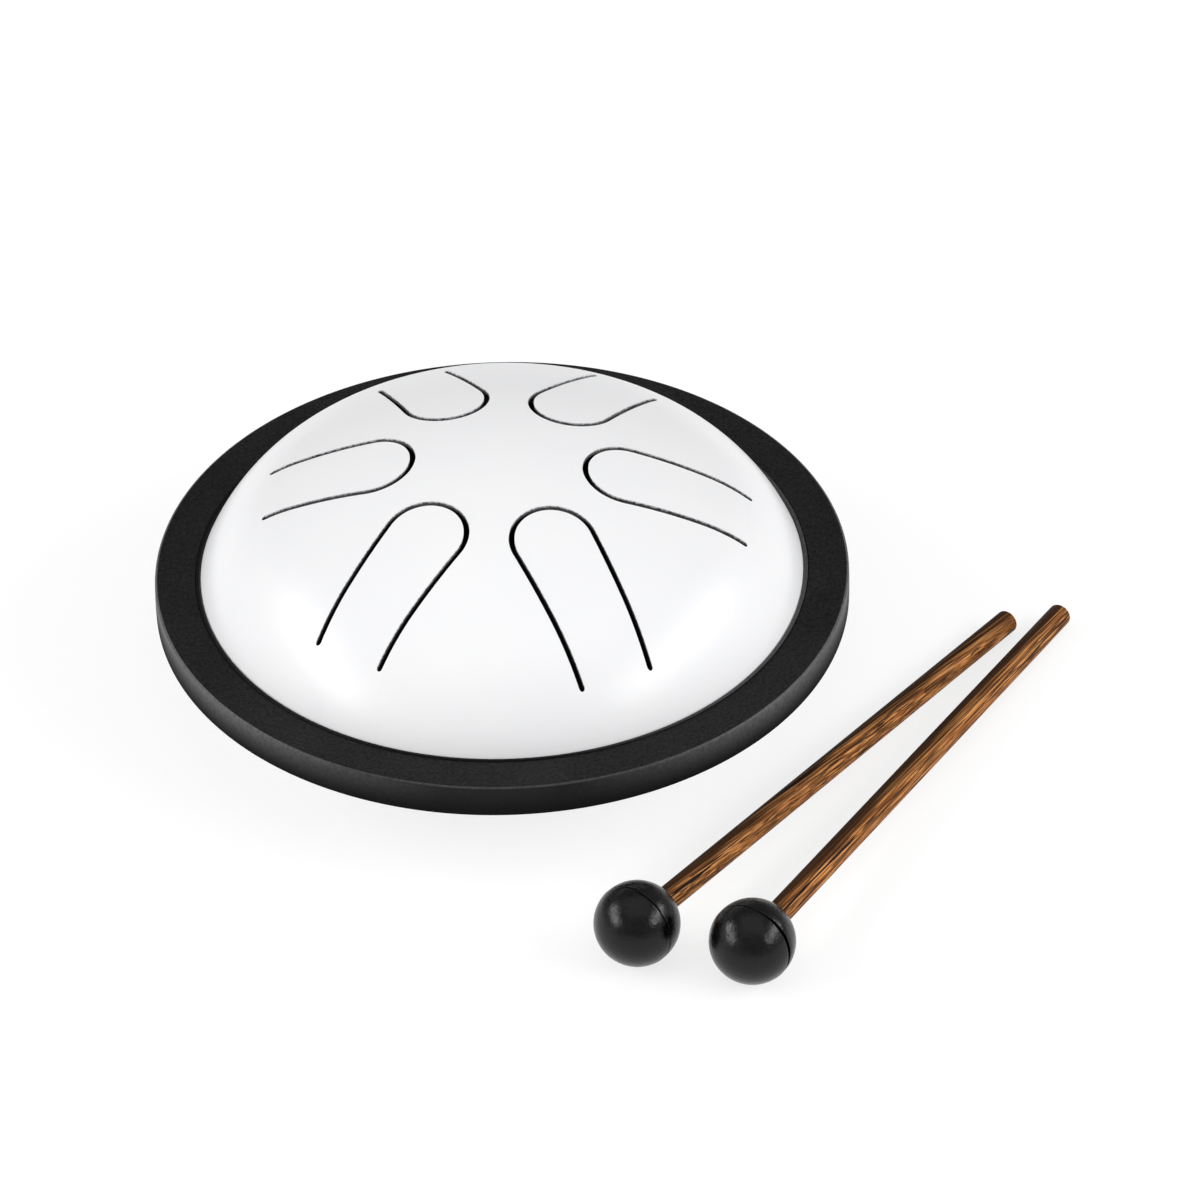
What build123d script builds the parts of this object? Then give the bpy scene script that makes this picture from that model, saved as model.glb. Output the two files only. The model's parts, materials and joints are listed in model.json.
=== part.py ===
from build123d import *
from math import acos, asin, atan2, cos, degrees, hypot, radians, sin, sqrt
import os

# Lengths in millimetres, angles in degrees. Z is the drum's axis, and z = 0 the seam between the two shells.

# Steel shells
sheet = 1.2  # both shells are pressed from this sheet
shell_radius = 80.3  # plan radius where the walls turn out into the flanges
flange_bend = 1.5  # radius of that turn
flange_width = 4.2
crown_angle = 24.15  # slope of the dome where its crown meets its shoulder
shoulder_radius = 46.6
wall_angle = 70.75  # slope of the dome where its wall meets the flange
base_depth = 22.0  # flat base of the bowl below the seam
base_bend = 28.0  # radius of the bowl's side
sound_hole_radius = 12.5

# Tongues
first_tongue_angle = -65.3
slot_width = 1.5
slot_tip = 22.3  # plan radius of the round ends of the slots
slot_gauge = 21.5  # between the two legs of a slot, at its round end
slot_mouth_share = 0.885  # the legs close in to this share of it at the root
root_margin = 11.3  # from the root of the longest tongue to the shell radius
tongue_length_shares = (1.0, 0.887, 0.737, 0.67, 0.807, 0.951)  # one tongue each
root_clearance = 0.02

# Rubber ring
ring_wall = 5.5  # rubber outside the flanges
ring_height = 9.0
ring_edge = 0.6
groove_clearance = 0.3
bead_width = 1.2  # lips that hug the shells
bead_height = 0.35
bead_edge = 0.2  # outer corner of a lip
lip_round = 0.6  # its corner towards the shell

# Rubber feet
foot_count = 3
first_foot_angle = 90
foot_radius = 6.5
foot_height = 6.0
foot_edge = 1.2
foot_margin = 1.6  # between the feet and the edge of the flat base
stem_radius = 2.5
stem_clearance = 0.1
knob_radius = 3.6  # holds the stem inside the bowl
knob_tip_radius = 2.0
knob_height = 3.5

# Mallets
head_radius = 11.0
seam_offset = 0.9  # moulding seam, past the centre of the head as seen from the stick
seam_width = 0.5
seam_depth = 0.35
stick_reach = 163.0  # from the centre of the head to the end of the stick
stick_bury = 3.0  # past the centre of the head
stick_head_radius = 3.25
stick_end_radius = 3.05
stick_edge = 0.6
left_mallet_heading = 52.5
left_mallet_gap = 7.9  # between the ring and the line of the stick
left_mallet_back = 73.5  # the head lies this far back along that line
right_mallet_heading = 58.8
right_mallet_gap = 27.8
right_mallet_back = 75.6

# Worked out from the sizes above
turn_height = sheet + flange_bend
flange_reach = shell_radius + flange_width
ring_radius = flange_reach + ring_wall
shoulder_r = shell_radius - (shoulder_radius + flange_bend) * sin(radians(wall_angle))
shoulder_z = turn_height - (shoulder_radius + flange_bend) * cos(radians(wall_angle))
crown_radius = shoulder_radius + shoulder_r / sin(radians(crown_angle))
crown_z = shoulder_z - (crown_radius - shoulder_radius) * cos(radians(crown_angle))
apex_height = crown_z + crown_radius
bowl_angle = degrees(acos((base_bend + turn_height - base_depth) / (base_bend + flange_bend)))
base_reach = shell_radius - (base_bend + flange_bend) * sin(radians(bowl_angle))
foot_circle_radius = base_reach - foot_margin - foot_radius
floor_height = -base_depth - foot_height
longest_tongue = shell_radius - root_margin - slot_tip


def dome_region(inset, *corners):
    """Half section of all that lies under the dome, set in from its outer surface."""
    with BuildSketch(Plane.XZ) as region:
        with BuildLine():
            crown = CenterArc((0, crown_z), crown_radius - inset, 90, -crown_angle)
            shoulder_centre = (shoulder_r, shoulder_z)
            CenterArc(shoulder_centre, shoulder_radius - inset, 90 - crown_angle, crown_angle - wall_angle)
            turn = CenterArc((shell_radius, turn_height), flange_bend + inset, 270 - wall_angle, wall_angle)
            Polyline(turn @ 1, *corners, (0, 0), crown @ 0)
        make_face()
    return region.sketch


def bowl_region(inset, *corners):
    """Half section of all that lies above the bowl, set in from its outer surface."""
    with BuildSketch(Plane.XZ) as region:
        with BuildLine():
            base = Line((0, inset - base_depth), (base_reach, inset - base_depth))
            CenterArc((base_reach, base_bend - base_depth), base_bend - inset, 270, bowl_angle)
            turn = CenterArc((shell_radius, -turn_height), flange_bend + inset, 90 + bowl_angle, -bowl_angle)
            Polyline(turn @ 1, *corners, (0, 0), base @ 0)
        make_face()
    return region.sketch


def slot_path(root, mouth):
    """Centre line of a slot: a round end and two legs, tangent to it, that stop at the root of the tongue."""
    bend_radius = slot_gauge / 2
    bend_centre = slot_tip + bend_radius
    run = root - bend_centre
    lean = degrees(atan2(mouth, run) + acos(bend_radius / hypot(run, mouth)))
    with BuildLine() as path:
        bend = CenterArc((bend_centre, 0), bend_radius, lean, 360 - 2 * lean)
        Line((root, mouth), bend @ 0)
        Line(bend @ 1, (root, -mouth))
    return path.wires()[0]


def root_plane(root, angle):
    """Plane square to the sheet, across the root of a tongue, at the middle of the sheet."""
    slope = asin(root / (crown_radius - sheet / 2))
    height = crown_z + (crown_radius - sheet / 2) * cos(slope)
    if degrees(slope) > crown_angle:
        slope = asin((root - shoulder_r) / (shoulder_radius - sheet / 2))
        height = shoulder_z + (shoulder_radius - sheet / 2) * cos(slope)
    outwards = Vector(1, 0, 0).rotate(Axis.Z, angle)
    across = Vector(0, 1, 0).rotate(Axis.Z, angle)
    down_the_sheet = outwards * cos(slope) - Vector(0, 0, sin(slope))
    return Plane(outwards * root + Vector(0, 0, height), across, down_the_sheet)


os.makedirs("parts", exist_ok=True)

# Dome before its slots are cut
with BuildPart() as dome:
    revolve(dome_region(0, (flange_reach, sheet), (flange_reach, 0)), Axis.Z)
    revolve(dome_region(sheet), Axis.Z, mode=Mode.SUBTRACT)

# Tongues, and what the slots and the tongues take out of the dome
openings = []
for number, length_share in enumerate(tongue_length_shares):
    tongue_angle = first_tongue_angle + number * 360 / len(tongue_length_shares)
    tongue_plan = Plane.XY.rotated((0, 0, tongue_angle))
    root = slot_tip + length_share * longest_tongue
    mouth = slot_mouth_share * slot_gauge / 2
    path = slot_path(root, mouth)
    root_cut = root_plane(root, tongue_angle)

    with BuildPart() as slot:
        with BuildSketch(tongue_plan):
            SlotArc(path, slot_width)
        extrude(amount=apex_height)

    with BuildPart() as window:
        with BuildSketch(tongue_plan):
            with BuildLine():
                add(path)
                past_root = root + slot_width
                Polyline((root, -mouth), (past_root, -mouth), (past_root, mouth), (root, mouth))
            make_face()
        extrude(amount=apex_height)
        split(bisect_by=root_cut, keep=Keep.BOTTOM)

    with BuildPart() as tongue:
        add(dome.part)
        add(window.part, mode=Mode.INTERSECT)
        add(slot.part, mode=Mode.SUBTRACT)
        split(bisect_by=root_cut.offset(-root_clearance), keep=Keep.BOTTOM)
    tongue.part.label = f"tongue_{number + 1}"
    export_step(tongue.part, f"parts/tongue_{number + 1}.step")
    openings += [slot.part, window.part]

# Dome with its slots, and room for the tongues
with BuildPart() as top_shell:
    add(dome.part)
    add(openings, mode=Mode.SUBTRACT)
top_shell.part.label = "top_shell"
export_step(top_shell.part, "parts/top_shell.step")

# Bowl that closes the drum below
with BuildPart() as bottom_shell:
    revolve(bowl_region(0, (flange_reach, -sheet), (flange_reach, 0)), Axis.Z)
    revolve(bowl_region(sheet), Axis.Z, mode=Mode.SUBTRACT)
    with BuildSketch(Plane.XY.offset(-base_depth)):
        Circle(sound_hole_radius)
        with PolarLocations(foot_circle_radius, foot_count, first_foot_angle):
            Circle(stem_radius + stem_clearance)
    extrude(amount=sheet, mode=Mode.SUBTRACT)
bottom_shell.part.label = "bottom_shell"
export_step(bottom_shell.part, "parts/bottom_shell.step")

# Rubber ring, with a groove that holds both flanges
groove_reach = flange_reach + groove_clearance
dome_lip = shoulder_r + sqrt(shoulder_radius**2 - (ring_height / 2 - shoulder_z) ** 2)
bowl_lip = base_reach + sqrt(base_bend**2 - (base_bend - base_depth + ring_height / 2) ** 2)
with BuildPart() as rim_ring:
    with BuildSketch(Plane.XZ) as ring_section:
        with Locations(((base_reach + ring_radius) / 2, 0)):
            Rectangle(ring_radius - base_reach, ring_height)
        fillet(ring_section.vertices().group_by(Axis.X)[-1], ring_edge)
        for side, lip in ((1, dome_lip), (-1, bowl_lip)):
            bead_reach = lip + bead_width
            with Locations(((base_reach + bead_reach) / 2, side * (ring_height + bead_height) / 2)):
                Rectangle(bead_reach - base_reach, bead_height)
        bead_corners = ring_section.vertices().group_by(Axis.Y)
        fillet([bead_corners[end].sort_by(Axis.X)[-1] for end in (0, -1)], bead_edge)
    revolve(axis=Axis.Z)
    revolve(dome_region(0, (groove_reach, sheet), (groove_reach, 0)), Axis.Z, mode=Mode.SUBTRACT)
    revolve(bowl_region(0, (groove_reach, -sheet), (groove_reach, 0)), Axis.Z, mode=Mode.SUBTRACT)
    lip_edges = rim_ring.edges().filter_by(GeomType.CIRCLE).group_by(Axis.Z)
    fillet([lip_edges[end].sort_by(SortBy.RADIUS)[0] for end in (0, -1)], lip_round)
rim_ring.part.label = "rim_ring"
export_step(rim_ring.part, "parts/rim_ring.step")

# Rubber feet, pushed into the flat base of the bowl
foot_places = PolarLocations(foot_circle_radius, foot_count, first_foot_angle).locations
for number, place in enumerate(foot_places):
    with BuildPart(Plane(place.position + Vector(0, 0, floor_height))) as foot:
        Cylinder(foot_radius, foot_height, align=(Align.CENTER, Align.CENTER, Align.MIN))
        fillet(foot.edges().group_by(Axis.Z)[0], foot_edge)
        with Locations((0, 0, foot_height)):
            Cylinder(stem_radius, sheet, align=(Align.CENTER, Align.CENTER, Align.MIN))
        with Locations((0, 0, foot_height + sheet)):
            Cone(knob_radius, knob_tip_radius, knob_height, align=(Align.CENTER, Align.CENTER, Align.MIN))
    foot.part.label = f"foot_{number + 1}"
    export_step(foot.part, f"parts/foot_{number + 1}.step")

# Mallets, which lie beside the drum on the head and on the end of the stick
mallets = (
    ("left_mallet", left_mallet_heading, left_mallet_gap, left_mallet_back),
    ("right_mallet", right_mallet_heading, right_mallet_gap, right_mallet_back),
)
stick_dip = asin((head_radius - stick_end_radius) / stick_reach)
for name, heading, gap, back in mallets:
    along = Vector(1, 0, 0).rotate(Axis.Z, heading)
    aside = Vector(0, 1, 0).rotate(Axis.Z, heading)
    head_centre = aside * -(ring_radius + gap) - along * back + Vector(0, 0, floor_height + head_radius)
    stick_way = along * cos(stick_dip) - Vector(0, 0, sin(stick_dip))
    stick_axis = Axis(head_centre, stick_way)
    half_section = Plane(head_centre, stick_way, aside)
    seam_radius = sqrt(head_radius**2 - seam_offset**2)

    with BuildPart() as stick:
        with BuildSketch(half_section) as stick_section:
            with BuildLine():
                Polyline(
                    (-stick_bury, 0),
                    (-stick_bury, stick_head_radius),
                    (stick_reach, stick_end_radius),
                    (stick_reach, 0),
                    close=True,
                )
            make_face()
            fillet(stick_section.vertices().group_by(Axis.X)[-1].sort_by(Axis.Y)[-1], stick_edge)
        revolve(axis=stick_axis)
    stick.part.label = f"{name}_stick"
    export_step(stick.part, f"parts/{name}_stick.step")

    with BuildPart() as head:
        with BuildSketch(half_section):
            with BuildLine():
                ball = CenterArc((0, 0), head_radius, 0, 180)
                Line(ball @ 1, ball @ 0)
            make_face()
            with Locations((-seam_offset, seam_radius)):
                Rectangle(seam_width, 2 * seam_depth, mode=Mode.SUBTRACT)
        revolve(axis=stick_axis)
        add(stick.part, mode=Mode.SUBTRACT)
    head.part.label = f"{name}_head"
    export_step(head.part, f"parts/{name}_head.step")

print(f"dome: apex {apex_height:.2f}, crown radius {crown_radius:.2f}, lip radius {dome_lip:.2f}")
print(f"base: reach {base_reach:.2f}, foot circle {foot_circle_radius:.2f}, floor {floor_height:.2f}")
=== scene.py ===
import json
import math
import bpy
from mathutils import Matrix, Vector


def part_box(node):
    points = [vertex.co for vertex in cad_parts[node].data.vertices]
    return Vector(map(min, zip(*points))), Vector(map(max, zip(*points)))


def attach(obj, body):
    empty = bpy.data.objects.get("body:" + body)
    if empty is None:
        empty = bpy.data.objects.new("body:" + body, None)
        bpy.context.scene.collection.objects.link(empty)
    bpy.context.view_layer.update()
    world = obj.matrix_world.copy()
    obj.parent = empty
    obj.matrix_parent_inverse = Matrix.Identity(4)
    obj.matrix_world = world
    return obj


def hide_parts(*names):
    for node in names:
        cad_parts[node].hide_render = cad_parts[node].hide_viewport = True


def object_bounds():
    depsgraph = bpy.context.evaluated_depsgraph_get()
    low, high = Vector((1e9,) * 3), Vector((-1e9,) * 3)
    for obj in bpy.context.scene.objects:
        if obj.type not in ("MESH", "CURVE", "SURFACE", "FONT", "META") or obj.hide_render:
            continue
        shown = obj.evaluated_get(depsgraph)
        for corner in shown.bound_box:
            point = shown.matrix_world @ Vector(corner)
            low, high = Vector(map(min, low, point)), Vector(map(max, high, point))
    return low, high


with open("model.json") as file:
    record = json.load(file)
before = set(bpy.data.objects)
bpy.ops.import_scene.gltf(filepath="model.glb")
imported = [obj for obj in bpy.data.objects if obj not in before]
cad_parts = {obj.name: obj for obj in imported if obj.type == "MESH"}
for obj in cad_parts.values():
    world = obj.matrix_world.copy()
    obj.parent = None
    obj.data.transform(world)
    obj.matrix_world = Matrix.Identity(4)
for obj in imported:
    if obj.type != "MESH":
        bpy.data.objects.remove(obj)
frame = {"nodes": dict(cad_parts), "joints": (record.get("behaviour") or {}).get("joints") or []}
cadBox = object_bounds()
mm = 0.001  # sizes below are in millimetres
weldReach = 0.002 * mm
footNumbers, tongueNumbers = range(1, 4), range(1, 7)
print("frame loaded,", len(frame["nodes"]), "nodes")


def pick(*pieces):
    bpy.ops.object.select_all(action="DESELECT")
    for piece in pieces:
        piece.select_set(True)
    bpy.context.view_layer.objects.active = pieces[0]


def startPoint(name, place):
    # a small plane, put in its place and merged to one point to draw from
    bpy.ops.object.select_all(action="DESELECT")
    bpy.ops.mesh.primitive_plane_add(size=mm, location=place)
    piece = bpy.context.active_object
    piece.name = piece.data.name = name
    bpy.ops.object.transform_apply(location=True, rotation=True, scale=True)
    bpy.ops.object.mode_set(mode="EDIT")
    bpy.ops.mesh.select_mode(type="VERT")
    bpy.ops.mesh.select_all(action="SELECT")
    bpy.ops.mesh.merge(type="CENTER")
    return piece


def drawThrough(points):
    for here, there in zip(points, points[1:]):
        step = Vector(there) - Vector(here)
        bpy.ops.mesh.extrude_region_move(TRANSFORM_OT_translate={"value": step})


def closeUp(piece):
    # merge what meets, then turn all faces outwards
    pick(piece)
    bpy.ops.object.mode_set(mode="EDIT")
    bpy.ops.mesh.select_all(action="SELECT")
    bpy.ops.mesh.remove_doubles(threshold=weldReach)
    bpy.ops.mesh.normals_make_consistent(inside=False)
    bpy.ops.object.mode_set(mode="OBJECT")


def turnPiece(name, outline, steps):
    # outline in (radius, height), spun about Z
    points = [(radius * mm, 0, height * mm) for radius, height in outline]
    piece = startPoint(name, points[0])
    drawThrough(points)
    bpy.ops.mesh.select_all(action="SELECT")
    bpy.ops.mesh.spin(steps=steps, angle=2 * math.pi, center=(0, 0, 0), axis=(0, 0, 1))
    bpy.ops.object.mode_set(mode="OBJECT")
    closeUp(piece)
    return piece


def arc(middle, radius, start, end, count):
    angles = [math.radians(start + (end - start) * i / count) for i in range(count + 1)]
    return [(middle[0] + radius * math.cos(a), middle[1] + radius * math.sin(a)) for a in angles]


def smooth(piece, degrees=30):
    pick(piece)
    bpy.ops.object.shade_smooth_by_angle(angle=math.radians(degrees))


def boolean(piece, tool, operation):
    pick(piece)
    cut = piece.modifiers.new("cut", "BOOLEAN")
    cut.operation, cut.solver, cut.object = operation, "EXACT", tool
    bpy.ops.object.modifier_apply(modifier=cut.name)


def copyOf(piece, name):
    pick(piece)
    bpy.ops.object.duplicate(linked=False)
    twin = bpy.context.active_object
    twin.name = twin.data.name = name
    return twin


def joined(pieces):
    pick(*pieces)
    bpy.ops.object.join()
    return bpy.context.active_object


def discard(*pieces):
    pick(*pieces)
    bpy.ops.object.delete()


# Noise and grain that the finishes share

def newGroup(name, inputs, outputs):
    group = bpy.data.node_groups.new(name, "ShaderNodeTree")
    for way, sockets in (("INPUT", inputs), ("OUTPUT", outputs)):
        for label, kind in sockets.items():
            group.interface.new_socket(label, in_out=way, socket_type="NodeSocket" + kind)
    return group, group.nodes.new("NodeGroupInput"), group.nodes.new("NodeGroupOutput")


def addNode(tree, kind, links=None, **settings):
    # links: input name or number -> output socket or value
    node = tree.nodes.new("ShaderNode" + kind)
    for key, value in settings.items():
        setattr(node, key, value)
    for key, source in (links or {}).items():
        if isinstance(source, bpy.types.NodeSocket):
            tree.links.new(source, node.inputs[key])
        else:
            node.inputs[key].default_value = source
    return node


def addMath(tree, operation, first, second):
    return addNode(tree, "Math", {0: first, 1: second}, operation=operation).outputs[0]


def measure(tree, operation, first, second=(0, 0, 0)):
    # one number from one or two vectors
    return addNode(tree, "VectorMath", {0: first, 1: second}, operation=operation).outputs["Value"]


def addRange(tree, value, low=0.0, high=1.0, toLow=0.0, toHigh=1.0):
    links = {"Value": value, "From Min": low, "From Max": high, "To Min": toLow, "To Max": toHigh}
    return addNode(tree, "MapRange", links).outputs["Result"]


def addBlend(tree, factor, first, second):
    # a Mix node takes numbers at its inputs 2 and 3, and colours at 6 and 7
    return addNode(tree, "Mix", {0: factor, 2: first, 3: second}, data_type="FLOAT").outputs[0]


def addMix(tree, factor, first, second):
    return addNode(tree, "Mix", {0: factor, 6: first, 7: second}, data_type="RGBA").outputs[2]


def addNoise(tree, vector, scale, detail=2.0, rough=0.5, distortion=0.0):
    links = {"Vector": vector, "Scale": scale, "Detail": detail, "Roughness": rough, "Distortion": distortion}
    return addNode(tree, "TexNoise", links).outputs["Fac"]


grainOutputs = {"Colour": "Color", "Roughness": "Float", "Height": "Float"}


def giveOut(group, out, *sockets):
    for label, socket in zip(grainOutputs, sockets):
        group.links.new(socket, out.inputs[label])


moulded = {"detail": 3.0, "grainRough": 0.6, "patchRough": 0.55,
           "grainSpread": (0.3, 0.7), "patchSpread": (0.32, 0.68)}


def makeMouldedGrain():
    # fine grain over broad soft patches, for rubber, the painted shade inside the shells and the cut edges
    group, given, out = newGroup(
        "mouldedGrain",
        {"Vector": "Vector", "Grain Scale": "Float", "Patch Scale": "Float", "Patch Share": "Float",
         "Dark": "Color", "Light": "Color", "Smoothest": "Float", "Roughest": "Float"},
        grainOutputs,
    )
    get = given.outputs
    grain = addNoise(group, get["Vector"], get["Grain Scale"], moulded["detail"], moulded["grainRough"])
    patch = addNoise(group, get["Vector"], get["Patch Scale"], moulded["detail"], moulded["patchRough"])
    sharpGrain = addRange(group, grain, *moulded["grainSpread"])
    softPatch = addRange(group, patch, *moulded["patchSpread"])
    both = addBlend(group, get["Patch Share"], sharpGrain, softPatch)
    colour = addMix(group, both, get["Dark"], get["Light"])
    roughness = addRange(group, both, toLow=get["Smoothest"], toHigh=get["Roughest"])
    giveOut(group, out, colour, roughness, sharpGrain)
    return group


woodFigure = {
    # stretch along the stick, then scale, detail, roughness and distortion
    "bands": (0.03, 300.0, 2.0, 0.5, 0.3), "vessels": (0.013, 1900.0, 2.0, 0.5, 0.0),
    "pores": (0.02, 3200.0, 1.0, 0.5, 0.0), "fibres": (0.011, 2300.0, 2.0, 0.55, 0.0),
    "fibreSpread": (0.42, 0.6), "vesselSpread": (0.5, 0.53),
    "bandSpread": (0.4, 0.6), "bandShare": (0.5, 1.0), "poreSpread": (0.55, 0.6), "poreShare": 0.85,
    # the edge of the painted shade wanders with the bands and the fibres
    "raggedSpread": (0.3, 0.7), "raggedBands": 1.0, "raggedFibres": 0.7, "raggedWidth": 0.9,
    "shadeShare": 0.93,
}


def makeWoodGrain():
    # X runs along the stick: long fibres, dark vessel lines and short pores
    group, given, out = newGroup(
        "woodGrain",
        {"Vector": "Vector", "Straight": "Vector", "Light": "Color", "Warm": "Color", "Dark": "Color",
         "Smoothest": "Float", "Roughest": "Float",
         "Shade Side": "Vector", "Shade Edge": "Float", "Shade Width": "Float"},
        grainOutputs,
    )
    get, figure = given.outputs, woodFigure

    def layer(name):
        stretch, *noise = figure[name]
        links = {"Vector": get["Vector"], "Scale": (stretch, 1, 1)}
        return addNoise(group, addNode(group, "Mapping", links, vector_type="POINT").outputs[0], *noise)

    def wander(noise, share):
        return addRange(group, noise, *figure["raggedSpread"], -share, share)

    bands, vessels, pores, fibres = (layer(name) for name in ("bands", "vessels", "pores", "fibres"))
    base = addMix(group, addRange(group, fibres, *figure["fibreSpread"]), get["Light"], get["Warm"])
    streak = addRange(group, vessels, *figure["vesselSpread"])
    thick = addRange(group, bands, *figure["bandSpread"], *figure["bandShare"])
    poreMask = addRange(group, pores, *figure["poreSpread"], toHigh=figure["poreShare"])
    # painted shade along one side of the stick
    across = measure(group, "DOT_PRODUCT", get["Straight"], get["Shade Side"])
    ragged = addMath(group, "ADD", wander(bands, figure["raggedBands"]), wander(fibres, figure["raggedFibres"]))
    wide = addMath(group, "MULTIPLY", ragged, figure["raggedWidth"] * mm)
    edge = addMath(group, "ADD", get["Shade Edge"], wide)
    inPaintedShade = addMath(group, "DIVIDE", addMath(group, "SUBTRACT", across, edge), get["Shade Width"])
    paintedShade = addRange(group, inPaintedShade, toHigh=figure["shadeShare"])
    dark = addMath(group, "MAXIMUM", addMath(group, "MULTIPLY", streak, thick), poreMask)
    dark = addMath(group, "MAXIMUM", dark, paintedShade)
    colour = addMix(group, dark, base, get["Dark"])
    roughness = addRange(group, dark, toLow=get["Smoothest"], toHigh=get["Roughest"])
    giveOut(group, out, colour, roughness, addMath(group, "SUBTRACT", 1.0, dark))
    return group


mouldedGrain = makeMouldedGrain()
woodGrain = makeWoodGrain()
print("shared grains made")


def openFinish(material):
    tree = material.node_tree
    return tree, tree.nodes["Principled BSDF"], tree.nodes.new("ShaderNodeTexCoord").outputs["Object"]


def newFinish(name):
    material = bpy.data.materials.new(name)
    material.use_nodes = True
    return material, *openFinish(material)


def dress(tree, shader, look, colour, rough, height):
    tree.links.new(colour, shader.inputs["Base Color"])
    tree.links.new(rough, shader.inputs["Roughness"])
    shader.inputs["Specular IOR Level"].default_value = look["gloss"]
    bump = addNode(tree, "Bump", {"Height": height, "Distance": look["depth"] * mm})
    tree.links.new(bump.outputs["Normal"], shader.inputs["Normal"])


def coverColour(tree, shader, mask, colour):
    plain = shader.inputs["Base Color"].links[0].from_socket
    tree.links.new(addMix(tree, mask, plain, colour), shader.inputs["Base Color"])


greyTint = 1.03  # greys lean a little to blue


def grey(value):
    return (value, value, value * greyTint, 1)


# Enamel on both shells and the tongues

enamel = {
    "white": (0.9, 0.9, 0.908, 1), "cooler": (0.88, 0.882, 0.895, 1),
    "smoothest": 0.29, "roughest": 0.33, "gloss": 0.42, "speckShare": 0.15, "spread": (0.35, 0.65),
    # scale, detail and roughness, the peel being the faint orange peel of sprayed enamel
    "cloud": (28.0, 3.0, 0.5), "speck": (2200.0, 2.0, 0.5), "peel": (420.0, 2.0, 0.45), "depth": 0.004,
}


def makeEnamel():
    material, tree, shader, where = newFinish("whiteEnamel")
    cloud, speck, peel = (addNoise(tree, where, *enamel[name]) for name in ("cloud", "speck", "peel"))
    colour = addMix(tree, addRange(tree, cloud, *enamel["spread"]), enamel["white"], enamel["cooler"])
    uneven = addBlend(tree, enamel["speckShare"], cloud, speck)
    rough = addRange(tree, uneven, *enamel["spread"], enamel["smoothest"], enamel["roughest"])
    dress(tree, shader, enamel, colour, rough, peel)
    return material


# Dark inside of the shells, painted shade seen through the slots and the sound hole, and the cut edges of the
# slots

insideShade = {"gloss": 0.3, "dark": 0.012, "light": 0.03, "smoothest": 0.5, "roughest": 0.7,
             "grain": 900.0, "patch": 40.0, "patchShare": 0.5, "depth": 0.01}
# the cut edges are dark below the enamel lap: painted shade in the slots
cutEdge = {"gloss": 0.3, "dark": 0.008, "light": 0.2, "smoothest": 0.4, "roughest": 0.6,
           "grain": 2400.0, "patch": 160.0, "patchShare": 0.3, "depth": 0.01,
           # enamel laps over the edge
           "lapFrom": 0.1, "lapTo": 0.55, "lapRagged": 0.5, "lapScale": 1500.0, "lapSpread": (0.3, 0.7)}

# Rubber of the ring, the feet and the mallet heads

ringRubber = {"gloss": 0.12, "dark": 0.0, "light": 0.024, "smoothest": 0.5, "roughest": 0.7,
              "grain": 1300.0, "patch": 45.0, "patchShare": 0.2, "depth": 0.1}
ringSide = {"gloss": 0.16, "dark": 0.0005, "light": 0.005, "smoothest": 0.34, "roughest": 0.5,
            "grain": 1500.0, "patch": 70.0, "patchShare": 0.4, "depth": 0.02}
footRubber = {"gloss": 0.3, "dark": 0.01, "light": 0.026, "smoothest": 0.55, "roughest": 0.75,
              "grain": 1800.0, "patch": 90.0, "patchShare": 0.4, "depth": 0.04}
headRubber = {"gloss": 0.29, "dark": 0.0005, "light": 0.003, "smoothest": 0.12, "roughest": 0.34,
              "grain": 1300.0, "patch": 300.0, "patchShare": 0.5, "depth": 0.034}


def makeGrained(name, look):
    material, tree, shader, where = newFinish(name)
    links = {
        "Vector": where, "Grain Scale": look["grain"], "Patch Scale": look["patch"],
        "Dark": grey(look["dark"]), "Light": grey(look["light"]),
        "Smoothest": look["smoothest"], "Roughest": look["roughest"], "Patch Share": look["patchShare"],
    }
    grain = addNode(tree, "Group", links, node_tree=mouldedGrain)
    dress(tree, shader, look, *grain.outputs)
    return material


# Painted sheen on the ring's outer wall, paler left and right and most at its upper edge, a painted highlight
# along its top corner, and a painted lit strip on the right of the lip; the lower wall is rougher

wallSheen = {
    "colour": (0.12, 0.12, 0.122, 1), "low": -4.0, "high": 4.4, "power": 1.5,
    "front": 15.0, "side": 70.0, "frontShare": 0.05, "unrubbedRoughness": 0.95,
    "corner": 0.45, "cornerLow": 4.0, "lip": 0.55, "lipReach": 82.0,
    "blotch": (900.0, 3.0, 0.6), "blotchSpread": (0.3, 0.6), "blotchShare": (0.6, 1.0),
}


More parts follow.
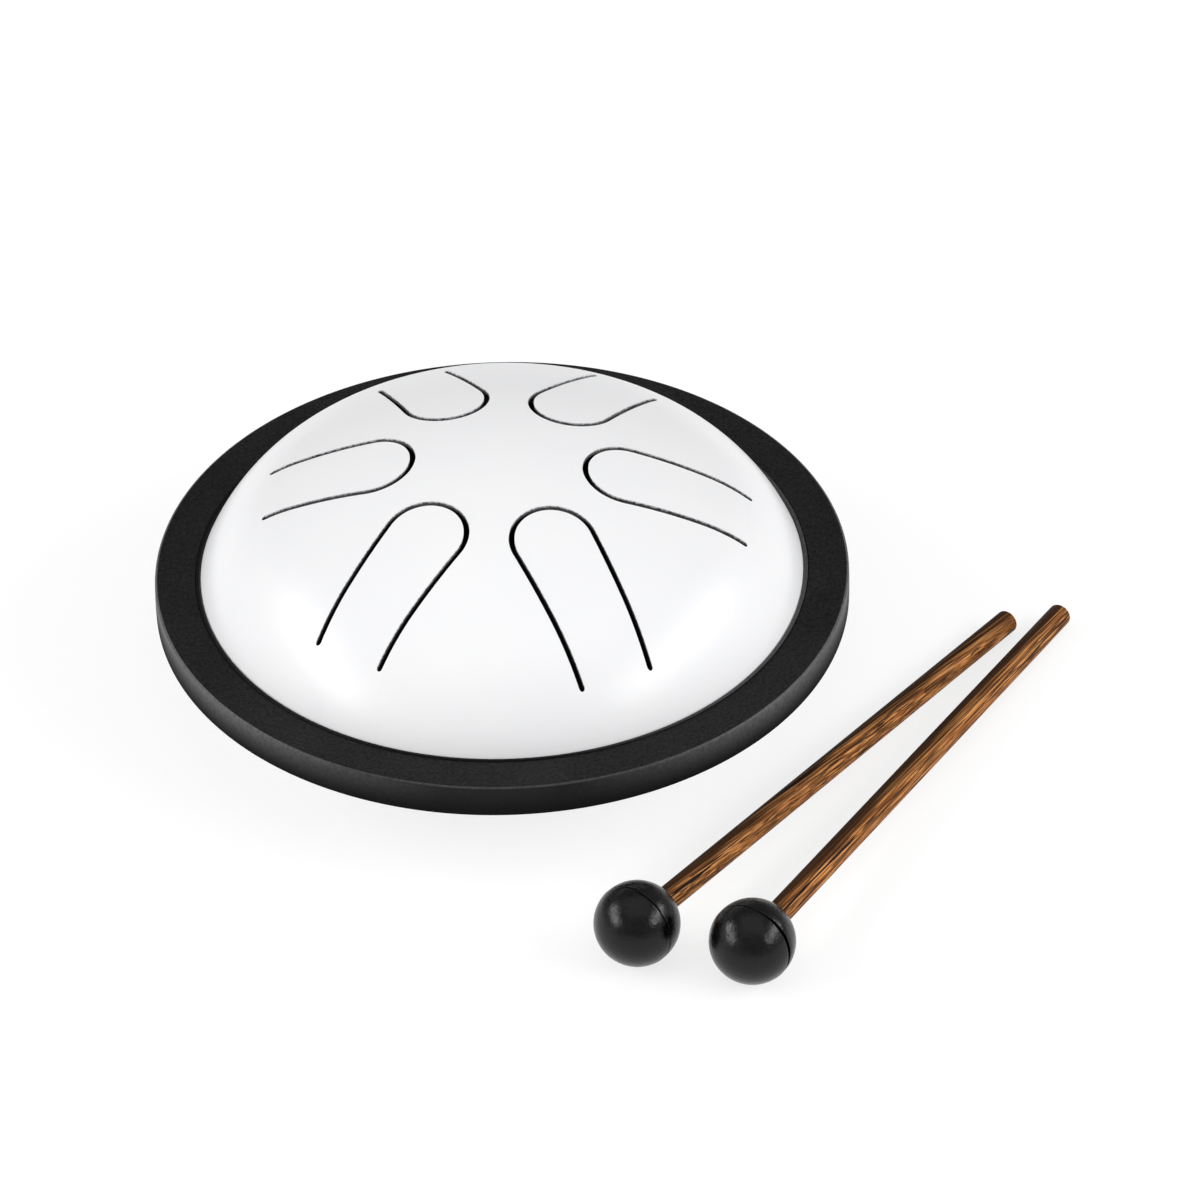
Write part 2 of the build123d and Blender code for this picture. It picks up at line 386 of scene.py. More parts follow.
def paintWallSheen(material):
    tree, shader, where = openFinish(material)
    parts = addNode(tree, "SeparateXYZ", {0: where}).outputs
    low, high, front, side, cornerLow, lipReach = (
        wallSheen[name] * mm for name in ("low", "high", "front", "side", "cornerLow", "lipReach"))
    rise = addRange(tree, parts["Z"], low, high)
    aside = addNode(tree, "Math", {0: parts["X"]}, operation="ABSOLUTE").outputs[0]
    # painted sheen: faint at the front, full left and right, growing towards the upper edge
    sideSheen = addRange(tree, aside, front, side, wallSheen["frontShare"])
    wall = addMath(tree, "MULTIPLY", addMath(tree, "POWER", rise, wallSheen["power"]), sideSheen)
    # painted highlight along the top corner of the wall, all round
    corner = addRange(tree, parts["Z"], cornerLow, high, toHigh=wallSheen["corner"])
    # painted lit strip on the lip, on the right-hand side only
    lip = addRange(tree, parts["X"], front, side, toHigh=wallSheen["lip"])
    onLip = addMath(tree, "LESS_THAN", measure(tree, "LENGTH", where), lipReach)
    paintedSheen = addBlend(tree, onLip, addMath(tree, "MAXIMUM", wall, corner), lip)
    blotch = addNoise(tree, where, *wallSheen["blotch"])
    blotch = addRange(tree, blotch, *wallSheen["blotchSpread"], *wallSheen["blotchShare"])
    coverColour(tree, shader, addMath(tree, "MULTIPLY", paintedSheen, blotch), wallSheen["colour"])
    polished = shader.inputs["Roughness"].links[0].from_socket
    tree.links.new(addBlend(tree, rise, wallSheen["unrubbedRoughness"], polished), shader.inputs["Roughness"])


# Hardwood of the sticks, with the grain along each stick

wood = {
    "light": (0.3, 0.1, 0.02, 1), "warm": (0.7, 0.3, 0.09, 1), "dark": (0.01, 0.0035, 0.0015, 1),
    "gloss": 0.12, "smoothest": 0.45, "roughest": 0.65, "depth": 0.05, "slant": {"left": 3.0, "right": 1.5},
    # painted shade: darker along one side of each stick
    "shadeSide": (0, 0.62, -0.78), "shadeEdge": {"left": -0.1, "right": 0.2},
    "shadeWidth": {"left": 1.9, "right": 1.8},
}


def makeWood(side, place, turn):
    material, tree, shader, where = newFinish(side + "Hardwood")
    laid = {"Vector": where, "Location": place, "Rotation": turn}
    local = addNode(tree, "Mapping", laid, vector_type="TEXTURE").outputs[0]
    slant = {"Vector": local, "Rotation": (0, math.radians(wood["slant"][side]), 0)}
    slanted = addNode(tree, "Mapping", slant, vector_type="POINT").outputs[0]
    links = {
        "Vector": slanted, "Straight": local,
        "Light": wood["light"], "Warm": wood["warm"], "Dark": wood["dark"],
        "Smoothest": wood["smoothest"], "Roughest": wood["roughest"], "Shade Side": wood["shadeSide"],
        "Shade Edge": wood["shadeEdge"][side] * mm, "Shade Width": wood["shadeWidth"][side] * mm,
    }
    grain = addNode(tree, "Group", links, node_tree=woodGrain)
    dress(tree, shader, wood, *grain.outputs)
    return material


whiteEnamel = makeEnamel()
shadedInside = makeGrained("insideShade", insideShade)
slotEdge = makeGrained("cutEdge", cutEdge)
blackRing = makeGrained("ringRubber", ringRubber)
blackSide = makeGrained("ringSide", ringSide)
# painted sheen and highlights on the ring's wall and lip
paintWallSheen(blackSide)
blackFoot = makeGrained("footRubber", footRubber)
blackHead = makeGrained("malletRubber", headRubber)
print("finishes made")


def finishPiece(piece, node, body, slot, *finishes):
    piece.name = piece.data.name = node + "_piece"
    piece.data.materials.clear()
    for finish in finishes:
        piece.data.materials.append(finish)
    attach(piece, body)
    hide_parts(node)


# Steel dome: a pressed shell, a crown and a shoulder that turn out into a flat flange

dome = {
    "sheet": 1.2, "shellRadius": 80.3, "flangeBend": 1.5,
    "crownAngle": 24.15, "shoulderRadius": 46.6, "wallAngle": 70.75,
    "steps": 240, "crownRings": 48, "shoulderRings": 56, "innerShare": 0.5, "bendRings": 8,
    "upright": 0.15, "shadeFrom": 0.75,  # normals of slot walls, and the depth that is inside
}
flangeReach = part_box("top_shell")[1].x / mm
turnHeight = dome["sheet"] + dome["flangeBend"]
wallSlope, crownSlope = math.radians(dome["wallAngle"]), math.radians(dome["crownAngle"])
shoulderR = dome["shellRadius"] - (dome["shoulderRadius"] + dome["flangeBend"]) * math.sin(wallSlope)
shoulderZ = turnHeight - (dome["shoulderRadius"] + dome["flangeBend"]) * math.cos(wallSlope)
crownRadius = dome["shoulderRadius"] + shoulderR / math.sin(crownSlope)
crownZ = shoulderZ - (crownRadius - dome["shoulderRadius"]) * math.cos(crownSlope)


def domeSkin(inset, share):
    # from the top of the crown to the flange
    crown = arc((0, crownZ), crownRadius - inset,
                90, 90 - dome["crownAngle"], int(dome["crownRings"] * share))
    shoulder = arc((shoulderR, shoulderZ), dome["shoulderRadius"] - inset,
                   90 - dome["crownAngle"], 90 - dome["wallAngle"], int(dome["shoulderRings"] * share))
    bend = arc((dome["shellRadius"], turnHeight), dome["flangeBend"] + inset,
               270 - dome["wallAngle"], 270, dome["bendRings"])
    skin = crown + shoulder[1:] + bend[1:]
    return [(0, crownZ + crownRadius - inset)] + skin[1:]


def makeDome():
    outside = domeSkin(0, 1)
    inside = domeSkin(dome["sheet"], dome["innerShare"])
    rim = [(flangeReach, dome["sheet"]), (flangeReach, 0)]
    return turnPiece("dome", outside + rim + inside[::-1], dome["steps"])


# Slots and tongues: the frame's hinges give each root, the slots run up from there

slots = {"width": 1.5, "tip": 22.3, "gauge": 21.5, "mouthShare": 0.885, "bendSteps": 56,
         # shares of the width, and of the tool's height, that find and round its ends
         "endReach": 0.6, "endRound": 0.49, "uprightShare": 0.5, "endSteps": 6,
         "rootGap": 0.006}  # room for the tongue's root to turn
slotMouth = slots["mouthShare"] * slots["gauge"] / 2
cutHeight = crownZ + crownRadius + slots["gauge"]


def slotLine(root):
    # leg, round end, leg, in plan along +X
    bend = slots["gauge"] / 2
    middle = slots["tip"] + bend
    run = root - middle
    lean = math.degrees(math.atan2(slotMouth, run) + math.acos(bend / math.hypot(run, slotMouth)))
    roundEnd = arc((middle, 0), bend, lean, 360 - lean, slots["bendSteps"])
    return [(root, slotMouth)] + roundEnd + [(root, -slotMouth)]


def turned(points, angle):
    turn = Matrix.Rotation(angle, 3, "Z")
    return [turn @ Vector((x * mm, y * mm, 0)) for x, y in points]


def makeSlotTool(root, angle):
    line = slotLine(root)
    legs = [(Vector(line[i]) - Vector(line[j])).normalized() for i, j in ((0, 1), (-1, -2))]
    first, last = (Vector(line[i]) + leg * slots["width"] / 2 for i, leg in zip((0, -1), legs))
    points = turned([first, *line[1:-1], last], angle)
    tool = startPoint("slotTool", points[0])
    drawThrough(points)
    bpy.ops.mesh.select_all(action="SELECT")
    bpy.ops.mesh.extrude_region_move(TRANSFORM_OT_translate={"value": (0, 0, cutHeight * mm)})
    bpy.ops.object.mode_set(mode="OBJECT")
    wall = tool.modifiers.new("width", "SOLIDIFY")
    wall.thickness, wall.offset, wall.use_even_offset = slots["width"] * mm, 0, True
    bpy.ops.object.modifier_apply(modifier=wall.name)
    closeUp(tool)
    # round the two ends
    near = slots["width"] * slots["endReach"] * mm
    tall = slots["uprightShare"] * cutHeight * mm
    ends = points[0].xy, points[-1].xy
    bpy.ops.object.mode_set(mode="EDIT")
    bpy.ops.mesh.select_mode(type="EDGE")
    bpy.ops.mesh.select_all(action="DESELECT")
    bpy.ops.object.mode_set(mode="OBJECT")
    for edge in tool.data.edges:
        low, high = (tool.data.vertices[i].co for i in edge.vertices)
        atEnd = min((low.xy - end).length for end in ends) < near
        edge.select = atEnd and abs(high.z - low.z) > tall
    bpy.ops.object.mode_set(mode="EDIT")
    roundOff = slots["width"] * slots["endRound"] * mm
    bpy.ops.mesh.bevel(offset=roundOff, segments=slots["endSteps"], affect="EDGES")
    bpy.ops.object.mode_set(mode="OBJECT")
    closeUp(tool)
    return tool


def makeTongueTool(root, angle, slope, height, gap):
    # all inside the slot's centre line, cut off square to the sheet, short of the root by the gap
    line = slotLine(root)
    past = root + slots["width"]
    points = turned(line + [(past, -slotMouth), (past, slotMouth)], angle)
    tool = startPoint("tongueTool", points[0])
    drawThrough(points)
    bpy.ops.mesh.select_all(action="SELECT")
    bpy.ops.mesh.edge_face_add()
    bpy.ops.mesh.extrude_region_move(TRANSFORM_OT_translate={"value": (0, 0, cutHeight * mm)})
    bpy.ops.mesh.select_all(action="SELECT")
    outwards = Vector((math.cos(angle), math.sin(angle), 0))
    downSheet = outwards * math.cos(slope) - Vector((0, 0, math.sin(slope)))
    rootPoint = (outwards * root + Vector((0, 0, height)) - downSheet * gap) * mm
    bpy.ops.mesh.bisect(plane_co=rootPoint, plane_no=downSheet, use_fill=True, clear_outer=True)
    bpy.ops.object.mode_set(mode="OBJECT")
    closeUp(tool)
    return tool


def makeTopShell():
    shell = makeDome()
    openings, blanks = [], []
    for joint in frame["joints"]:
        if not joint["name"].endswith("_flex"):
            continue
        x, y, z = (value / mm for value in joint["pos_m"])
        root, angle = math.hypot(x, y), math.atan2(y, x)
        slope = math.atan2(root - shoulderR, z - shoulderZ)
        if slope < crownSlope:
            slope = math.atan2(root, z - crownZ)
        slotTool = makeSlotTool(root, angle)
        opening = makeTongueTool(root, angle, slope, z, 0)
        blank = makeTongueTool(root, angle, slope, z, slots["rootGap"])
        boolean(opening, slotTool, "UNION")
        boolean(blank, slotTool, "DIFFERENCE")
        discard(slotTool)
        openings.append(opening)
        blanks.append(blank)
    openings, blanks = joined(openings), joined(blanks)
    tongues = copyOf(shell, "tongues")
    boolean(tongues, blanks, "INTERSECT")
    boolean(shell, openings, "DIFFERENCE")
    discard(openings, blanks)
    pick(tongues)
    bpy.ops.object.mode_set(mode="EDIT")
    bpy.ops.mesh.select_all(action="SELECT")
    bpy.ops.mesh.separate(type="LOOSE")
    bpy.ops.object.mode_set(mode="OBJECT")
    return shell, list(bpy.context.selected_objects)


def domeDepth(point):
    # how far into the sheet, as a share of its thickness
    radius, height = math.hypot(point.x, point.y) / mm, point.z / mm
    if radius > dome["shellRadius"] - turnHeight:
        return 0.0
    depth = dome["shoulderRadius"] - math.hypot(radius - shoulderR, height - shoulderZ)
    if math.atan2(radius - shoulderR, height - shoulderZ) < crownSlope:
        depth = crownRadius - math.hypot(radius, height - crownZ)
    return depth / dome["sheet"]


def paintShadeInside(piece):
    # slot walls are upright, the two sides of the sheet never are
    wallReach = (dome["shellRadius"] - turnHeight) * mm
    for face in piece.data.polygons:
        onWall = abs(face.normal.z) < dome["upright"] and face.center.xy.length < wallReach
        # slot walls get the cut edge finish, the inner side of the sheet the painted shade
        face.material_index = 2 if onWall else int(domeDepth(face.center) > dome["shadeFrom"])


def lapEnamel(material):
    # the enamel runs a little way down the cut edge, raggedly
    tree, shader, where = openFinish(material)
    flat = addNode(tree, "VectorMath", {0: where, 1: (1, 1, 0)}, operation="MULTIPLY").outputs[0]
    reach = measure(tree, "LENGTH", flat)
    height = addNode(tree, "SeparateXYZ", {0: where}).outputs["Z"]
    section = addNode(tree, "CombineXYZ", {0: reach, 1: height}).outputs[0]
    fromCrown = measure(tree, "DISTANCE", where, (0, 0, crownZ * mm))
    fromShoulder = measure(tree, "DISTANCE", section, (shoulderR * mm, shoulderZ * mm, 0))
    inShoulder = addMath(tree, "SUBTRACT", dome["shoulderRadius"] * mm, fromShoulder)
    inCrown = addMath(tree, "SUBTRACT", crownRadius * mm, fromCrown)
    onCrown = addMath(tree, "LESS_THAN", reach, crownRadius * math.sin(crownSlope) * mm)
    depth = addBlend(tree, onCrown, inShoulder, inCrown)
    wide = cutEdge["lapRagged"] / 2 * mm
    ragged = addRange(tree, addNoise(tree, where, cutEdge["lapScale"]), *cutEdge["lapSpread"], -wide, wide)
    lapped = addMath(tree, "ADD", depth, ragged)
    lap = addRange(tree, lapped, cutEdge["lapFrom"] * mm, cutEdge["lapTo"] * mm, 1.0, 0.0)
    coverColour(tree, shader, lap, enamel["white"])


lapEnamel(slotEdge)
topShell, tongues = makeTopShell()
smooth(topShell)
finishPiece(topShell, "top_shell", "drum", "white_enamel", whiteEnamel, shadedInside, slotEdge)
paintShadeInside(topShell)
for tongue in tongues:
    smooth(tongue)
    middle = sum((v.co for v in tongue.data.vertices), Vector()) / len(tongue.data.vertices)
    number = min(tongueNumbers, key=lambda n: (sum(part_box(f"tongue_{n}"), Vector()) / 2 - middle).length)
    finishPiece(tongue, f"tongue_{number}", f"tongue_{number}", "white_enamel", whiteEnamel, shadedInside, slotEdge)
    paintShadeInside(tongue)
print("dome slotted,", len(tongues), "tongues")


# Bowl under the drum, with its sound hole

bowl = {"baseDepth": 22.0, "baseBend": 28.0, "holeRadius": 12.5, "holeEdge": 0.3,
        "steps": 180, "sideRings": 26, "mouthRings": 4, "shadeFrom": 0.8,
        "stemHole": 2.6, "stemSteps": 40, "stemSheets": 4}
bowlSlope = math.degrees(math.acos(
    (bowl["baseBend"] + turnHeight - bowl["baseDepth"]) / (bowl["baseBend"] + dome["flangeBend"])))
baseReach = dome["shellRadius"] - (bowl["baseBend"] + dome["flangeBend"]) * math.sin(math.radians(bowlSlope))


def bowlSkin(inset):
    side = arc((baseReach, bowl["baseBend"] - bowl["baseDepth"]), bowl["baseBend"] - inset,
               270, 270 + bowlSlope, bowl["sideRings"])
    bend = arc((dome["shellRadius"], -turnHeight), dome["flangeBend"] + inset,
               90 + bowlSlope, 90, dome["bendRings"])
    return side + bend[1:]


def makeBowl():
    edge, depth, rings = bowl["holeEdge"], bowl["baseDepth"], bowl["mouthRings"]
    low, high, rim = -depth, dome["sheet"] - depth, bowl["holeRadius"] + edge
    mouth = arc((rim, high - edge), edge, 90, 180, rings) + arc((rim, low + edge), edge, 180, 270, rings)
    flange = [(flangeReach, -dome["sheet"]), (flangeReach, 0)]
    outline = mouth + bowlSkin(0) + flange + bowlSkin(dome["sheet"])[::-1]
    return turnPiece("bowl", outline + outline[:1], bowl["steps"])


def bowlDepth(point):
    radius, height = math.hypot(point.x, point.y) / mm, point.z / mm
    if radius < baseReach:
        return (height + bowl["baseDepth"]) / dome["sheet"]
    rise = height - bowl["baseBend"] + bowl["baseDepth"]
    return (bowl["baseBend"] - math.hypot(radius - baseReach, rise)) / dome["sheet"]


def makeStemTool():
    rods = []
    for number in footNumbers:
        low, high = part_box(f"foot_{number}")
        bpy.ops.object.select_all(action="DESELECT")
        bpy.ops.mesh.primitive_cylinder_add(
            vertices=bowl["stemSteps"], radius=bowl["stemHole"] * mm,
            depth=bowl["stemSheets"] * dome["sheet"] * mm,
            location=((low.x + high.x) / 2, (low.y + high.y) / 2, high.z + dome["sheet"] / 2 * mm),
        )
        rods.append(bpy.context.active_object)
    return joined(rods)


bottomShell, stemTool = makeBowl(), makeStemTool()
boolean(bottomShell, stemTool, "DIFFERENCE")
discard(stemTool)
smooth(bottomShell)
finishPiece(bottomShell, "bottom_shell", "drum", "white_enamel", whiteEnamel, shadedInside)
# painted shade on the inner side of the bowl
for face in bottomShell.data.polygons:
    face.material_index = int(bowlDepth(face.center) > bowl["shadeFrom"])
print("bowl turned")


# Rubber ring round the rim

ring = {"edge": 0.6, "beadWidth": 1.2, "beadHeight": 0.35, "beadEdge": 0.2, "beadGroove": (0.3, 0.25),
        "lipRound": 0.6, "fitGap": 0.04, "footRise": 0.4, "grooveGap": 0.3, "bulge": 0.06, "beadFrom": 0.25,
        "steps": 288, "lipRings": 8, "beadRings": 4, "edgeRings": 6, "topRings": 4, "wallRings": 6}
ringRadius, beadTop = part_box("rim_ring")[1].x / mm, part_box("rim_ring")[1].z / mm
ringTop = beadTop - ring["beadHeight"]
ringLip = flangeReach - ring["beadWidth"]  # well outside the bead, well inside the wall


def domeWall(height):
    return shoulderR + math.sqrt(dome["shoulderRadius"] ** 2 - (height - shoulderZ) ** 2) + ring["fitGap"]


def bowlWall(height):
    rise = bowl["baseBend"] - bowl["baseDepth"] - height
    return baseReach + math.sqrt(bowl["baseBend"] ** 2 - rise ** 2) + ring["fitGap"]


def ringHalf(wall, side):
    # upper or lower half of the section, from the shell over the lip and the flat to the outer wall
    footHeight = turnHeight + ring["footRise"]
    foot = wall(side * footHeight)
    lean = math.degrees(math.atan2(beadTop - footHeight, foot - wall(side * beadTop)))
    soft, edge, bead = ring["lipRound"], ring["edge"], ring["beadEdge"]
    lip = wall(side * beadTop) + soft / math.tan(math.radians(lean / 2))
    crest = wall(side * ringTop) + ring["beadWidth"]
    half = [(flangeReach + ring["grooveGap"], dome["sheet"] + ring["fitGap"])]
    half += [(dome["shellRadius"], dome["sheet"] + ring["fitGap"]), (foot, footHeight)]
    half += arc((lip, beadTop - soft), soft, 270 - lean, 90, ring["lipRings"])
    half += arc((crest - bead, beadTop - bead), bead, 90, 0, ring["beadRings"])
    grooveWidth, grooveDepth = ring["beadGroove"]
    half += [(crest, ringTop - grooveDepth), (crest + grooveWidth / 2, ringTop - grooveDepth)]
    start = crest + grooveWidth
    half.append((start, ringTop))
    corner = ringRadius - ring["bulge"] - edge
    flat = corner - edge - start
    half += [(start + flat * i / ring["topRings"], ringTop) for i in range(1, ring["topRings"] + 1)]
    half += arc((corner, ringTop - edge), edge, 90, 0, ring["edgeRings"])
    shares = [1 - i / ring["wallRings"] for i in range(1, ring["wallRings"] + 1)]
    half += [(ringRadius - ring["bulge"] * share ** 2, (ringTop - edge) * share) for share in shares]
    return [(radius, side * height) for radius, height in half]


def makeRing():
    upper, lower = ringHalf(domeWall, 1), ringHalf(bowlWall, -1)
    return turnPiece("ring", upper + lower[-2::-1] + upper[:1], ring["steps"])


rimRing = makeRing()
smooth(rimRing)
finishPiece(rimRing, "rim_ring", "drum", "ring_rubber", blackRing, blackSide)
for face in rimRing.data.polygons:
    reach = face.center.xy.length / mm
    onBead = reach < ringLip and face.center.z > (ringTop + ring["beadFrom"] * ring["beadHeight"]) * mm
    face.material_index = int(onBead or reach > ringRadius - ring["bulge"] - ring["edge"])
print("ring turned")


# Push-in rubber feet

foot = {"radius": 6.5, "height": 6.0, "edge": 1.2, "topEdge": 0.3, "steps": 64, "edgeRings": 6, "topRings": 3,
        "dish": 0.4, "dishRings": ((0, 1), (0.3, 0.8), (0.5, 0)),  # shares of the radius and of the dish
        "stem": 2.5, "knob": 3.6, "knobTip": 2.0, "knobHeight": 3.5}


def makeFoot():
    # turned at the axis, floor at zero
    radius, height, edge, top = foot["radius"], foot["height"], foot["edge"], foot["topEdge"]
    stemTop = height + dome["sheet"]
    outline = [(radius * out, foot["dish"] * deep) for out, deep in foot["dishRings"]] + [(radius - edge, 0)]
    outline += arc((radius - edge, edge), edge, -90, 0, foot["edgeRings"])[1:]
    outline += arc((radius - top, height - top), top, 0, 90, foot["topRings"])
    outline += [(foot["stem"], height), (foot["stem"], stemTop), (foot["knob"], stemTop),
                (foot["knobTip"], stemTop + foot["knobHeight"]), (0, stemTop + foot["knobHeight"])]
    return turnPiece("foot", outline, foot["steps"])


footMaster = makeFoot()
for number in footNumbers:
    piece = copyOf(footMaster, f"foot{number}")
    low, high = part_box(f"foot_{number}")
    piece.location = ((low.x + high.x) / 2, (low.y + high.y) / 2, low.z)
    bpy.ops.object.transform_apply(location=True, rotation=True, scale=True)
    smooth(piece)
    finishPiece(piece, f"foot_{number}", "drum", "foot_rubber", blackFoot)
discard(footMaster)
print("feet placed")


# Mallets: rubber ball on a hardwood stick

mallet = {
    # two moulded halves, one a little smaller, with a groove between
    "seamOffset": 0.9, "seamWidth": 0.34, "seamDepth": 0.9, "seamEdge": 0.22, "halfStep": 0.1,
    "seamSoft": (0.2, 0.35), "seamFloor": 0.6,
    # where they part
    "gapWay": {"right": (0.81, -0.47, 0.34)}, "gapWidth": 0.75,
    "gapTurn": 52.0, "gapFade": 3.2, "gapReach": 5.0,
    "bury": 3.0, "boreGap": 0.02, "boreTurn": 1.5, "boreEdge": 0.25,
    "stickHead": 3.25, "stickEnd": 3.05, "stickEdge": 0.6, "rimSlack": 0.02,
    "ballSteps": 128, "frontRings": 56, "backRings": 48, "smooth": 40,
    "stickSteps": 48, "stickRings": 40, "edgeRings": 6,
}


def stickRadius(reach, along):
    share = (along + mallet["bury"]) / (reach + mallet["bury"])
    return mallet["stickHead"] + (mallet["stickEnd"] - mallet["stickHead"]) * share


def makeBall(radius, reach):
    # turned on Z, with Z towards the stick
    half, deep, edge = mallet["seamWidth"] / 2, mallet["seamDepth"], mallet["seamEdge"]
    seam, small = -mallet["seamOffset"], radius - mallet["halfStep"]

    def rim(ball, height):
        return math.sqrt(ball ** 2 - height ** 2)

    def slant(ball, height):
        return math.degrees(math.asin(height / ball))

    bore = stickRadius(reach, radius) + mallet["boreGap"]
    boreFloor = -mallet["bury"] - mallet["boreGap"]
    boreSlant = math.degrees(math.acos(bore / small)) - mallet["boreTurn"]
    softIn, softUp = (share * edge for share in mallet["seamSoft"])
    deepest, flat = rim(radius, seam) - deep, mallet["seamFloor"] * half
    front = arc((0, 0), radius, -90, slant(radius, seam - half - edge), mallet["frontRings"])
    outline = [(0, -radius)] + front[1:]
    outline += [(rim(radius, seam - half) - softIn, seam - half - softUp)]
    outline += [(rim(radius, seam) - edge, seam - half), (deepest, seam - flat)]
    outline += [(deepest, seam + flat), (rim(small, seam) - edge, seam + half)]
    outline += [(rim(small, seam + half) - softIn, seam + half + softUp)]
    outline += arc((0, 0), small, slant(small, seam + half + edge), boreSlant, mallet["backRings"])
    outline += [(bore, rim(small, bore) - mallet["boreEdge"]), (bore, boreFloor), (0, boreFloor)]
    return turnPiece("ball", outline, mallet["ballSteps"])


def partSeam(ball, way):
    # the halves stand apart on one side
    least = math.cos(math.radians(mallet["gapTurn"]))
    aim = Vector(way[:2]).normalized()
    for vertex in ball.data.vertices:
        height = vertex.co.z / mm + mallet["seamOffset"]
        if 0 < height < mallet["gapFade"] and vertex.co.xy.length > mallet["gapReach"] * mm:
            share = max(0, (vertex.co.xy.normalized().dot(aim) - least) / (1 - least))
            share *= share * (3 - 2 * share)  # eases in and out
            vertex.co.z += mallet["gapWidth"] * mm * min(1, share) * (1 - height / mallet["gapFade"])


def makeStick(reach):
    edge, low = mallet["stickEdge"], -mallet["bury"]
    last = reach - edge
    rows = [low + (last - low) * i / mallet["stickRings"] for i in range(mallet["stickRings"] + 1)]
    outline = [(0, low)] + [(stickRadius(reach, row), row) for row in rows]
    outline += arc((stickRadius(reach, last) - edge, last), edge, 0, 90, mallet["edgeRings"])[1:] + [(0, reach)]
    return turnPiece("stick", outline, mallet["stickSteps"])


def makeMallet(side):
    low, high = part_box(f"{side}_mallet_head")
    centre = (low + high) / 2
    radius = (high.z - low.z) / 2 / mm
    marks = [v.co for v in frame["nodes"][f"{side}_mallet_stick"].data.vertices]
    furthest = max((mark - centre).length for mark in marks)
    rim = [mark for mark in marks if (mark - centre).length > furthest - mallet["rimSlack"] * mm]
    way = sum(rim, Vector()) / len(rim) - centre
    turn = way.to_track_quat("Z", "Y")
    ball, stick = makeBall(radius, way.length / mm), makeStick(way.length / mm)
    if side in mallet["gapWay"]:
        partSeam(ball, turn.inverted() @ Vector(mallet["gapWay"][side]))
    grainTurn = turn @ Matrix.Rotation(-math.pi / 2, 4, "Y").to_quaternion()
    woodFinish = makeWood(side, centre, grainTurn.to_euler())
    pieces = (ball, "head", blackHead, "mallet_rubber"), (stick, "stick", woodFinish, "hardwood")
    for piece, node, finish, slot in pieces:
        pick(piece)
        piece.rotation_mode = "QUATERNION"
        piece.rotation_quaternion, piece.location = turn, centre
        bpy.ops.object.transform_apply(location=True, rotation=True, scale=True)
        piece.rotation_mode = "XYZ"
        smooth(piece, mallet["smooth"])
        finishPiece(piece, f"{side}_mallet_{node}", f"{side}_mallet", slot, finish)


for side in ("left", "right"):
    makeMallet(side)
print("mallets laid")


# Floor, light and camera

studio = {
    "floorRadius": 40.0, "floorSteps": 96, "floorColour": (0.7, 0.7, 0.7, 1), "floorRoughness": 0.9,
    "floorSeen": (0.3, 0.3, 0.3, 1), "floorGlow": 0.75,  # to the camera and to what mirrors the floor
    "frontAmbient": 0.45, "backAmbient": 0.2, "sideAmbient": 0.3,
    "leftBox": {"way": (-0.85, -0.16, 0.49), "size": (1.55, 0.36),
                "roll": -18.0, "distance": 1.7, "power": 15.5},
    "rightBox": {"way": (0.82, -0.2, 0.52), "size": (1.8, 0.36),
                 "roll": 0.0, "distance": 1.7, "power": 16.5},
    "topBox": {"way": (0.0, -0.1, 1.0), "size": (2.4, 2.4),
               "roll": 0.0, "distance": 2.2, "power": 9.0},
}


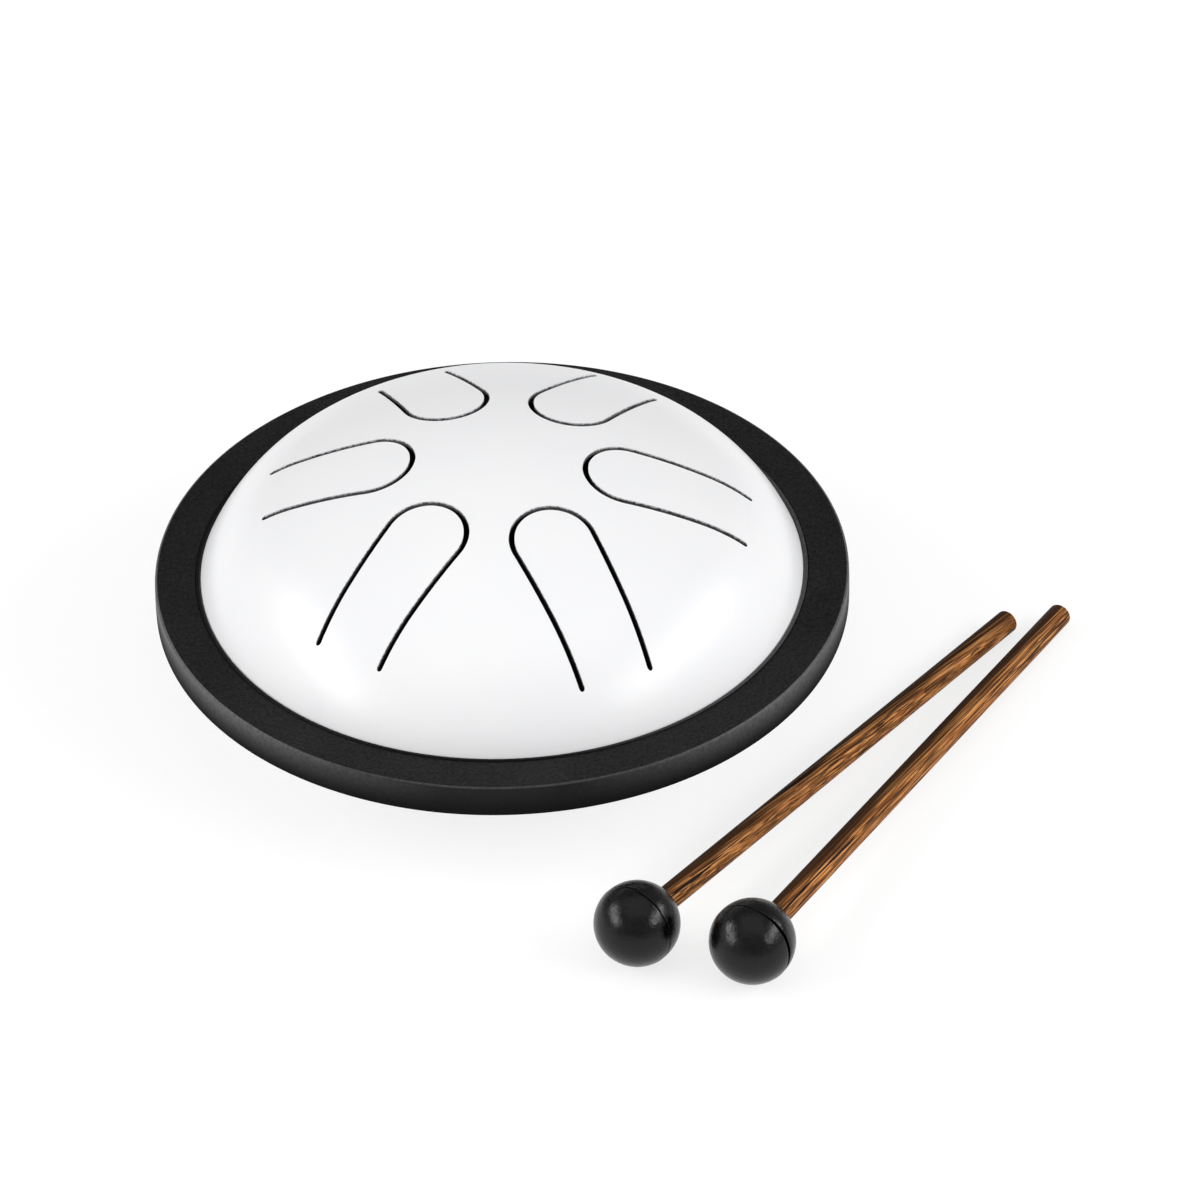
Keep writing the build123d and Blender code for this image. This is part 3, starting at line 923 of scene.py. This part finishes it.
def makeFloor():
    bpy.ops.object.select_all(action="DESELECT")
    bpy.ops.mesh.primitive_circle_add(
        vertices=studio["floorSteps"], radius=studio["floorRadius"], fill_type="NGON",
        location=(0, 0, cadBox[0][2]),
    )
    floor = bpy.context.active_object
    floor.name = "floor"
    material = bpy.data.materials.new("paleFloor")
    material.use_nodes = True
    tree = material.node_tree
    shader = tree.nodes["Principled BSDF"]
    shader.inputs["Roughness"].default_value = studio["floorRoughness"]
    shader.inputs["Specular IOR Level"].default_value = 0.0
    shader.inputs["Emission Color"].default_value = (1, 1, 1, 1)
    path = tree.nodes.new("ShaderNodeLightPath").outputs
    mirrored = addMath(tree, "MAXIMUM", path["Is Glossy Ray"], path["Is Transmission Ray"])
    seen = addMath(tree, "MAXIMUM", path["Is Camera Ray"], mirrored)
    tree.links.new(addMix(tree, seen, studio["floorColour"], studio["floorSeen"]), shader.inputs["Base Color"])
    tree.links.new(addMath(tree, "MULTIPLY", seen, studio["floorGlow"]), shader.inputs["Emission Strength"])
    floor.data.materials.append(material)


def makeSoftbox(name, box):
    lamp = bpy.data.lights.new(name, "AREA")
    lamp.shape, lamp.energy = "RECTANGLE", box["power"]
    lamp.size, lamp.size_y = box["size"]
    piece = bpy.data.objects.new(name, lamp)
    bpy.context.collection.objects.link(piece)
    way = Vector(box["way"]).normalized()
    piece.location = way * box["distance"]
    roll = Matrix.Rotation(math.radians(box["roll"]), 4, "Z").to_quaternion()
    piece.rotation_euler = (way.to_track_quat("Z", "Y") @ roll).to_euler()
    piece.visible_camera = False


def makeWorld():
    world = bpy.data.worlds.new("studio")
    bpy.context.scene.world = world
    world.use_nodes = True
    tree = world.node_tree
    # darkest behind, brightest at the sides
    way = tree.nodes.new("ShaderNodeTexCoord").outputs["Generated"]
    parts = addNode(tree, "SeparateXYZ", {0: way}).outputs
    ambient = addRange(tree, parts["Y"], -1.0, 1.0, studio["frontAmbient"], studio["backAmbient"])
    sides = addMath(tree, "MULTIPLY", addMath(tree, "MULTIPLY", parts["X"], parts["X"]), studio["sideAmbient"])
    ambient = addMath(tree, "ADD", ambient, sides)
    back = tree.nodes["Background"]
    back.inputs["Color"].default_value = (1, 1, 1, 1)
    tree.links.new(ambient, back.inputs["Strength"])


makeFloor()
for name in ("leftBox", "rightBox", "topBox"):
    makeSoftbox(name, studio[name])
makeWorld()

view = {"place": (25.24, -1838.85, 1438.53), "tilt": 51.837, "roll": -1.156, "lens": 270.0, "sensor": 36.0}
lens = bpy.data.cameras.new("photoView")
lens.lens, lens.sensor_width = view["lens"], view["sensor"]
camera = bpy.data.objects.new("photoView", lens)
bpy.context.collection.objects.link(camera)
camera.matrix_world = (
    Matrix.Translation(Vector(view["place"]) * mm)
    @ Matrix.Rotation(math.radians(view["tilt"]), 4, "X")
    @ Matrix.Rotation(math.radians(view["roll"]), 4, "Z")
)
bpy.context.scene.camera = camera
bpy.context.scene.view_settings.view_transform = "Standard"
print("studio set")
